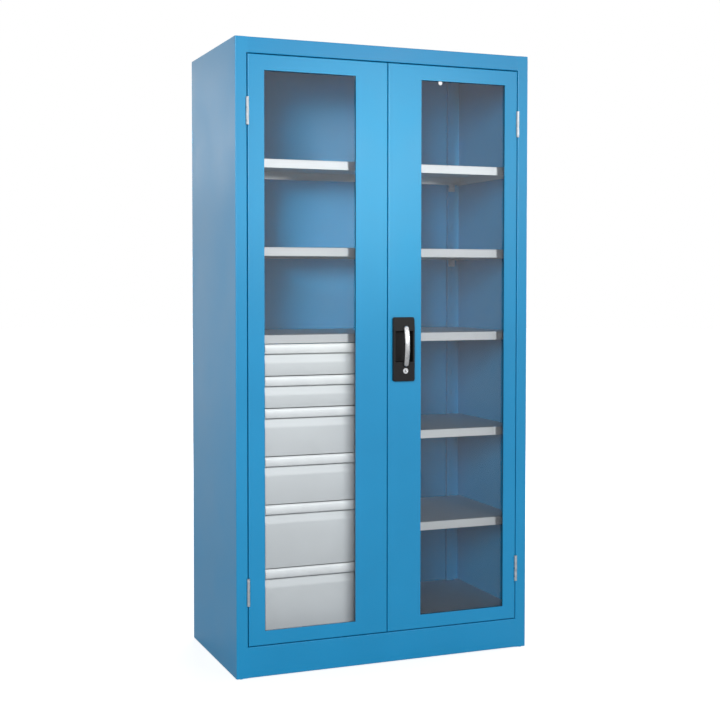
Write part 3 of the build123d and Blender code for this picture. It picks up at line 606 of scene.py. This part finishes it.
def surround(scene, studio):
    """White all round to the eye and to gloss, and a level grey light on the surfaces."""
    world = bpy.data.worlds.new("studio_surround")
    world.use_nodes = True
    tree = world.node_tree
    tree.nodes.clear()
    ray = add_node(tree, "ShaderNodeLightPath")
    seen = add_node(tree, "ShaderNodeMath", {"operation": "ADD"},
                    {0: ray.outputs["Is Camera Ray"], 1: ray.outputs["Is Glossy Ray"]})
    through = add_node(tree, "ShaderNodeMath", {"operation": "ADD", "use_clamp": True},
                       {0: seen.outputs[0], 1: ray.outputs["Is Transmission Ray"]})
    shown = add_node(tree, "ShaderNodeMath", {"operation": "SUBTRACT", "use_clamp": True},
                     {0: through.outputs[0], 1: ray.outputs["Diffuse Depth"]})
    white = add_node(tree, "ShaderNodeBackground", {"Color": rgba("#FFFFFF"), "Strength": 1.0})
    level = add_node(tree, "ShaderNodeBackground",
                     {"Color": rgba("#F4F8FF"), "Strength": studio.sky_level})
    both = add_node(tree, "ShaderNodeMixShader", {},
                    {0: shown.outputs[0], 1: level.outputs[0], 2: white.outputs[0]})
    add_node(tree, "ShaderNodeOutputWorld", {}, {"Surface": both.outputs[0]})
    scene.world = world


def floor_paint():
    """Plaster, painted matt: pale, and white to the eye away from the cabinet, so that it meets
    the surround without a line. Gloss sees it darker close to the cabinet."""
    material, tree = blank_material("studio_floor_painted")
    place = add_node(tree, "ShaderNodeTexCoord").outputs["Object"]
    ray = add_node(tree, "ShaderNodeLightPath")
    away = add_node(tree, "ShaderNodeVectorMath", {"operation": "LENGTH"}, {0: place})
    eye_level = add_node(tree, "ShaderNodeMapRange", {
        "From Min": 0.6, "From Max": 4.0, "To Min": 0.72, "To Max": 1.0},
        {"Value": away.outputs["Value"]})
    through = add_node(tree, "ShaderNodeMath", {"operation": "ADD", "use_clamp": True}, {
        0: ray.outputs["Is Camera Ray"], 1: ray.outputs["Is Transmission Ray"]})
    bounces = add_node(tree, "ShaderNodeMath", {"operation": "ADD"}, {
        0: ray.outputs["Diffuse Depth"], 1: ray.outputs["Glossy Depth"]})
    direct = add_node(tree, "ShaderNodeMath", {"operation": "SUBTRACT", "use_clamp": True}, {
        0: through.outputs[0], 1: bounces.outputs[0]})
    to_eye = add_node(tree, "ShaderNodeMath", {"operation": "MULTIPLY"}, {
        0: direct.outputs[0], 1: eye_level.outputs["Result"]})
    across = add_node(tree, "ShaderNodeSeparateXYZ", {}, {0: place})
    before = add_node(tree, "ShaderNodeMath", {"operation": "ABSOLUTE"}, {0: across.outputs["Y"]})
    gloss_level = add_node(tree, "ShaderNodeMapRange", {
        "From Min": 1.2, "From Max": 9.0, "To Min": 0.1, "To Max": 0.75},
        {"Value": before.outputs[0]})
    shown = add_node(tree, "ShaderNodeMath", {"operation": "MULTIPLY_ADD"}, {
        0: ray.outputs["Is Glossy Ray"], 1: gloss_level.outputs["Result"], 2: to_eye.outputs[0]})
    pale = add_node(tree, "ShaderNodeBsdfDiffuse", {"Color": rgba("#CBCBCB")})
    glow = add_node(tree, "ShaderNodeEmission", {"Color": rgba("#FFFFFF")},
                    {"Strength": shown.outputs[0]})
    both = add_node(tree, "ShaderNodeAddShader", {}, {0: pale.outputs[0], 1: glow.outputs[0]})
    add_node(tree, "ShaderNodeOutputMaterial", {}, {"Surface": both.outputs[0]})
    return material


def pale_floor(studio):
    """A round floor, which keeps the cabinet's shadow."""
    mesh = bpy.data.meshes.new("studio_floor")
    build = bmesh.new()
    bmesh.ops.create_circle(build, cap_ends=True, segments=96, radius=studio.floor_radius)
    build.to_mesh(mesh)
    build.free()
    mesh.materials.append(floor_paint())
    floor = bpy.data.objects.new("studio_floor", mesh)
    bpy.context.scene.collection.objects.link(floor)
    return floor


def lamp(name, place, target, width, power, unlit, height=0.0, spread=180.0, tint="#FFFFFF"):
    """A soft lamp aimed at a point of the cabinet, which leaves some pieces unlit. It is square
    unless it has a height."""
    data = bpy.data.lights.new(name, "AREA")
    data.shape = "RECTANGLE"
    data.size, data.size_y = width, height or width
    data.energy = power
    data.color = linear(tint)
    data.spread = math.radians(spread)
    made = bpy.data.objects.new(name, data)
    made.location = place
    aim = Vector(target) - Vector(place)
    made.rotation_euler = aim.to_track_quat("-Z", "Y").to_euler()
    bpy.context.scene.collection.objects.link(made)
    shaded = bpy.data.collections.new(name + "_shaded")
    for each in unlit:
        shaded.objects.link(each)
    for member in shaded.collection_objects:
        member.light_linking.link_state = "EXCLUDE"
    made.light_linking.receiver_collection = shaded


def camera(scene, studio):
    """The camera at the viewing angle of a product photograph, left of centre at chest height."""
    data = bpy.data.cameras.new("camera")
    data.sensor_width = 36.0
    data.lens = studio.lens
    data.shift_x, data.shift_y = studio.camera_shift
    made = bpy.data.objects.new("camera", data)
    made.location = studio.camera_place
    made.rotation_euler = (math.pi / 2 - studio.camera_tilt, 0.0, -studio.camera_turn)
    scene.collection.objects.link(made)
    scene.camera = made


# ------------------------------------------------------------------ operators

class CABINET_OT_paint_steel(bpy.types.Operator):
    """Paint the carcass, doors, shelves and drawers"""
    bl_idname = "cabinet.paint_steel"
    bl_label = "Paint Sheet Steel"

    def execute(self, context):
        finish = context.scene.cabinet_finish
        satin, dull = 0.32, 0.42
        blue = powder_coat("steel_sheet_powder_coated_blue", finish.body_colour, satin, finish)
        pale = powder_coat("steel_sheet_powder_coated_pale_grey", finish.shelf_colour, dull, finish)
        grey = powder_coat("steel_sheet_powder_coated_grey", finish.drawer_colour, dull, finish)
        coat(with_ending(NODES, "side_panel", "top_panel", "plinth_panel", "back_panel",
                         "door_shell", "stile_cover", "shelf_uprights", "partition",
                         "runner_wall", "levelling_feet", "foot_brackets"), blue)
        coat(with_ending(NODES, "_shelf", "floor_panel"), pale)
        coat(with_ending(NODES, "_front", "_tray"), grey)
        return {"FINISHED"}


class CABINET_OT_glaze_windows(bpy.types.Operator):
    """Finish the panes and their seals"""
    bl_idname = "cabinet.glaze_windows"
    bl_label = "Glaze Windows"

    def execute(self, context):
        coat(with_ending(NODES, "_pane"), clear_sheet(context.scene.cabinet_finish))
        coat(with_ending(NODES, "_seal"), extruded_rubber())
        return {"FINISHED"}


class CABINET_OT_plate_fittings(bpy.types.Operator):
    """Finish the hinges, window frames, brackets, rails, rods, bolts and their guides"""
    bl_idname = "cabinet.plate_fittings"
    bl_label = "Plate Fittings"

    def execute(self, context):
        coat(with_ending(NODES, "_retainer", "shelf_brackets", "_rails", "_knuckles", "_rod",
                         "_guides", "_bolt", "lock_cam", "lock_case", "lever_pin"),
             zinc_plate(context.scene.cabinet_finish))
        coat(with_ending(NODES, "_glides"), moulded_nylon())
        return {"FINISHED"}


class CABINET_OT_finish_handle(bpy.types.Operator):
    """Finish the handle plate, its lever and the key cylinder"""
    bl_idname = "cabinet.finish_handle"
    bl_label = "Finish Handle"

    def execute(self, context):
        finish = context.scene.cabinet_finish
        coat(with_ending(NODES, "handle_housing", "lever_hub"), moulded_black(finish))
        coat(with_ending(NODES, "swing_lever"), satin_chrome(finish))
        coat(with_ending(NODES, "lock_barrel", "key_plug"), bright_chrome(finish))
        return {"FINISHED"}


class CABINET_OT_grind_welds(bpy.types.Operator):
    """Fill the joints of the posts with the fascia and the plinth, ground flush before painting"""
    bl_idname = "cabinet.grind_welds"
    bl_label = "Grind Post Welds"

    def execute(self, context):
        finish = context.scene.cabinet_finish
        half, crown = finish.weld_width / 2, finish.weld_crown
        # How deep the weld sits in the sheet, where it thins out, and how far it stops short.
        sunk, feather, short = 0.0002, 0.00001, 0.0003
        joint = box_of("plinth_panel")[1].x
        build = bmesh.new()
        for node in ("top_panel", "plinth_panel"):
            low, high = box_of(node)
            for middle in (-joint, joint):
                section = [(middle + across * half, low.y + depth) for across, depth in (
                    (-1.0, sunk), (-1.0, feather), (-0.5, -crown),
                    (0.5, -crown), (1.0, feather), (1.0, sunk))]
                bar(build, [[Vector((x, y, z)) for x, y in section]
                            for z in (low.z + short, high.z - short)])
        piece("post_welds", build, NODES["top_panel"].data.materials[0], "carcass")
        return {"FINISHED"}


class CABINET_OT_press_fronts(bpy.types.Operator):
    """Cover each drawer's face with a skin that slopes out from under the grip"""
    bl_idname = "cabinet.press_fronts"
    bl_label = "Press Drawer Fronts"

    def execute(self, context):
        finish = context.scene.cabinet_finish
        ease, rise = finish.front_ease, finish.front_rise
        # How far the skin laps into the face, and the height of the bends that end its slope.
        lap, bend, steps = 0.0002, 0.003, 6
        run = finish.slope_height - 2 * bend
        for number in DRAWERS:
            node = f"drawer_{number}_front"
            low, high = box_of(node)
            face, start = low.y + finish.grip_depth, high.z - finish.grip_height - bend
            section = [(face + lap, start), (face - lap, start), (face - ease, start - bend / 3)]
            # The straight part of the slope is most of the rise, and the bends are the rest.
            section += [(face - rise * (0.1 + 0.88 * step / steps),
                         start - bend - run * step / steps) for step in range(steps + 1)]
            section += [(face - rise, start - finish.slope_height),
                        (face - rise, low.z + 2 * ease),
                        (face - rise + 0.3 * ease, low.z + 1.3 * ease),
                        (face - rise + ease, low.z + ease), (face + lap, low.z + ease)]
            build = bmesh.new()
            bar(build, [[Vector((x, y, z)) for y, z in section]
                        for x in (low.x + ease, high.x - ease)])
            piece(f"drawer_{number}_skin", build, NODES[node].data.materials[0],
                  f"drawer_{number}")
        return {"FINISHED"}


class CABINET_OT_fit_grips(bpy.types.Operator):
    """Cap each drawer's grip with a moulding"""
    bl_idname = "cabinet.fit_grips"
    bl_label = "Fit Drawer Grips"

    def execute(self, context):
        finish = context.scene.cabinet_finish
        material, section = extruded_grip(), grip_section(finish)
        for number in DRAWERS:
            low, high = box_of(f"drawer_{number}_front")
            build = bmesh.new()
            bar(build, [[Vector((x, low.y + y, high.z + z)) for y, z in section]
                        for x in (low.x + finish.grip_wall, high.x - finish.grip_wall)])
            piece(f"drawer_{number}_grip", build, material, f"drawer_{number}")
        return {"FINISHED"}


class CABINET_OT_set_rivets(bpy.types.Operator):
    """Rivet the window frames to the doors"""
    bl_idname = "cabinet.set_rivets"
    bl_label = "Set Window Rivets"

    def execute(self, context):
        finish = context.scene.cabinet_finish
        inset, rows, columns = finish.rivet_inset, finish.rivet_rows, finish.rivet_columns
        material = zinc_plate(finish)
        for side in ("left", "right"):
            low, high = box_of(f"{side}_window_retainer")
            places = [(x, low.z + (high.z - low.z) * (row + 0.5) / rows)
                      for x in (low.x + inset, high.x - inset) for row in range(rows)]
            places += [(low.x + (high.x - low.x) * (column + 0.5) / columns, z)
                       for z in (low.z + inset, high.z - inset) for column in range(columns)]
            build = bmesh.new()
            for x, z in places:
                blind_rivet(build, Vector((x, high.y, z)), TO_BACK, finish.rivet_radius)
            piece(f"{side}_window_rivets", build, material, f"{side}_door")
        return {"FINISHED"}


class CABINET_OT_drive_screws(bpy.types.Operator):
    """Screw the lock case and the guides of rods and bolts to the doors"""
    bl_idname = "cabinet.drive_screws"
    bl_label = "Drive Screws"

    def execute(self, context):
        finish = context.scene.cabinet_finish
        material = zinc_plate(finish)
        inset = finish.guide_ear / 2
        for node, body in (("rod_guides", "right_door"), ("bolt_guides", "left_door")):
            build = bmesh.new()
            for low, high in solids_of(node):
                for x in (low.x + inset, high.x - inset):
                    pan_screw(build, Vector((x, high.y, (low.z + high.z) / 2)), TO_BACK,
                              finish.guide_screw)
            piece(node[:-1] + "_screws", build, material, body)
        low, high = box_of("lock_case")
        inset = finish.case_inset
        build = bmesh.new()
        for z in (low.z + inset, high.z - inset):
            for x in (low.x + inset, high.x - inset):
                pan_screw(build, Vector((x, high.y, z)), TO_BACK, finish.case_screw)
        piece("lock_case_screws", build, material, "right_door")
        return {"FINISHED"}


class CABINET_OT_slip_washers(bpy.types.Operator):
    """Slip a brass washer between the two barrels of each hinge"""
    bl_idname = "cabinet.slip_washers"
    bl_label = "Slip Hinge Washers"

    def execute(self, context):
        finish = context.scene.cabinet_finish
        radius, play = finish.barrel_radius, 0.0001
        build = bmesh.new()
        for low, high in solids_of("left_door_knuckles") + solids_of("right_door_knuckles"):
            # The barrel is the round part of the solid, at its front.
            x = low.x + radius if low.x < 0 else high.x - radius
            centre = Vector((x, low.y + radius, low.z - finish.washer_gap / 2))
            washer(build, centre, UP, finish.pin_radius + play, radius - play,
                   finish.washer_thickness)
        piece("hinge_washers", build, turned_brass(), "carcass")
        return {"FINISHED"}


class CABINET_OT_set_studio(bpy.types.Operator):
    """Add the floor, the pale surroundings, the lamps and the camera"""
    bl_idname = "cabinet.set_studio"
    bl_label = "Set Studio"

    def execute(self, context):
        studio = context.scene.cabinet_studio
        surround(context.scene, studio)
        floor = pale_floor(studio)
        floor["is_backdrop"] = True

        shown = {each.name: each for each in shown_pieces()}
        panes = with_ending(shown, "_pane")
        inner = with_ending(shown, "back_panel", "shelf_uprights")
        back = with_ending(shown, "back_panel")
        drawers = with_ending(shown, "_front", "_tray", "_grip", "_skin")
        shelves = with_ending(shown, "_shelf", "floor_panel")
        bay_shelves = with_ending(shown, "_bay_shelf")
        long_shelves = with_ending(shown, "middle_shelf", "lower_shelf")
        top_shelf = with_ending(shown, "upper_shelf")
        shelving = shelves + with_ending(shown, "shelf_brackets") + panes
        hinges = with_ending(shown, "_knuckles")
        bright = with_ending(shown, "top_panel", "swing_lever", "lock_barrel", "key_plug") + hinges

        def all_but(lit):
            """The floor and every piece but these."""
            return [floor] + [each for each in shown.values() if each not in lit]

        # Each lamp in front lights only the pieces that it is meant for, so that each finish gets
        # its own level. No shelf has two of the three shelf lamps: Cycles lost one of them in
        # some renders, when a shelf had two lamps out of a close group.
        over_shelves, middle, foot = (0.0, 0.0, 2.07), (0.0, 0.0, 1.4), (0.0, 0.0, 0.1)
        upper, waist = (0.0, 0.0, 1.6), (0.0, 0.0, 1.2)
        lamp("shelf_lamp", (0.57, -5.5, 1.64), over_shelves, width=0.5,
             power=studio.shelf_power, unlit=all_but(long_shelves), spread=50.0)
        lamp("bay_shelf_lamp", (0.57, -5.5, 1.0), middle, width=0.5,
             power=studio.bay_power, unlit=all_but(bay_shelves), spread=50.0)
        lamp("top_shelf_lamp", (0.57, -5.5, 1.64), over_shelves, width=0.5,
             power=studio.shelf_power * (1 + studio.top_share), unlit=all_but(top_shelf),
             spread=50.0)
        lamp("upper_lamp", (-0.3, -3.4, 1.6), (0.0, 0.0, 1.55), width=0.5,
             power=studio.upper_power, unlit=shelving + inner + bright, spread=21.0,
             tint="#FFF9D9")
        lamp("right_front_lamp", (2.6, -6.2, 2.4), upper, width=1.5,
             power=studio.right_power, unlit=shelving + drawers)
        lamp("left_front_lamp", (-3.0, -5.6, 2.6), middle, width=2.4,
             power=studio.left_power, unlit=shelving + drawers + inner + hinges)
        lamp("drawer_lamp", (0.0, -5.6, 3.9), foot, width=5.2, height=1.0,
             power=studio.drawer_power, unlit=all_but(drawers))
        lamp("wall_lamp", (-3.0, -5.6, 2.1), middle, width=2.4,
             power=studio.wall_power, unlit=all_but(inner))
        lamp("window_lamp", (-2.9, -5.6, 1.9), (-0.25, -0.2, 1.45), width=0.8,
             power=studio.window_power, unlit=all_but(back), spread=14.0)
        lamp("left_lamp", (-4.2, 0.6, 1.5), waist, width=2.4,
             power=studio.side_power, unlit=panes)
        lamp("left_rear_lamp", (-1.7, 4.2, 2.2), upper, width=0.7,
             power=studio.gloss_power, unlit=panes)
        lamp("right_lamp", (4.2, 0.6, 1.7), waist, width=2.4,
             power=studio.far_power, unlit=panes)
        lamp("rear_lamp", (1.6, 4.6, 2.4), waist, width=2.4,
             power=studio.far_power, unlit=panes)
        camera(context.scene, studio)
        return {"FINISHED"}


# ----------------------------------------------------------------------- panel

OPERATORS = (
    CABINET_OT_paint_steel, CABINET_OT_glaze_windows, CABINET_OT_plate_fittings,
    CABINET_OT_finish_handle, CABINET_OT_grind_welds, CABINET_OT_press_fronts,
    CABINET_OT_fit_grips, CABINET_OT_set_rivets, CABINET_OT_drive_screws,
    CABINET_OT_slip_washers, CABINET_OT_set_studio)


class CABINET_PT_sidebar(bpy.types.Panel):
    """Lists the cabinet's steps and their sizes and colours"""
    bl_idname = "CABINET_PT_sidebar"
    bl_label = "Storage Cabinet"
    bl_space_type = "VIEW_3D"
    bl_region_type = "UI"
    bl_category = "Cabinet"

    def draw(self, context):
        for group in (context.scene.cabinet_finish, context.scene.cabinet_studio):
            for name in group.__annotations__:
                self.layout.prop(group, name)
        for operator in OPERATORS:
            self.layout.operator(operator.bl_idname)


CLASSES = (CabinetFinish, CabinetStudio, *OPERATORS, CABINET_PT_sidebar)


def register():
    for one in CLASSES:
        bpy.utils.register_class(one)
    bpy.types.Scene.cabinet_finish = bpy.props.PointerProperty(type=CabinetFinish)
    bpy.types.Scene.cabinet_studio = bpy.props.PointerProperty(type=CabinetStudio)


def unregister():
    del bpy.types.Scene.cabinet_studio
    del bpy.types.Scene.cabinet_finish
    for one in reversed(CLASSES):
        bpy.utils.unregister_class(one)


def main():
    """Runs every step in order."""
    register()
    bpy.context.scene.view_settings.view_transform = "Standard"
    for operator in OPERATORS:
        group, name = operator.bl_idname.split(".")
        getattr(getattr(bpy.ops, group), name)()


if __name__ == "__main__":
    main()
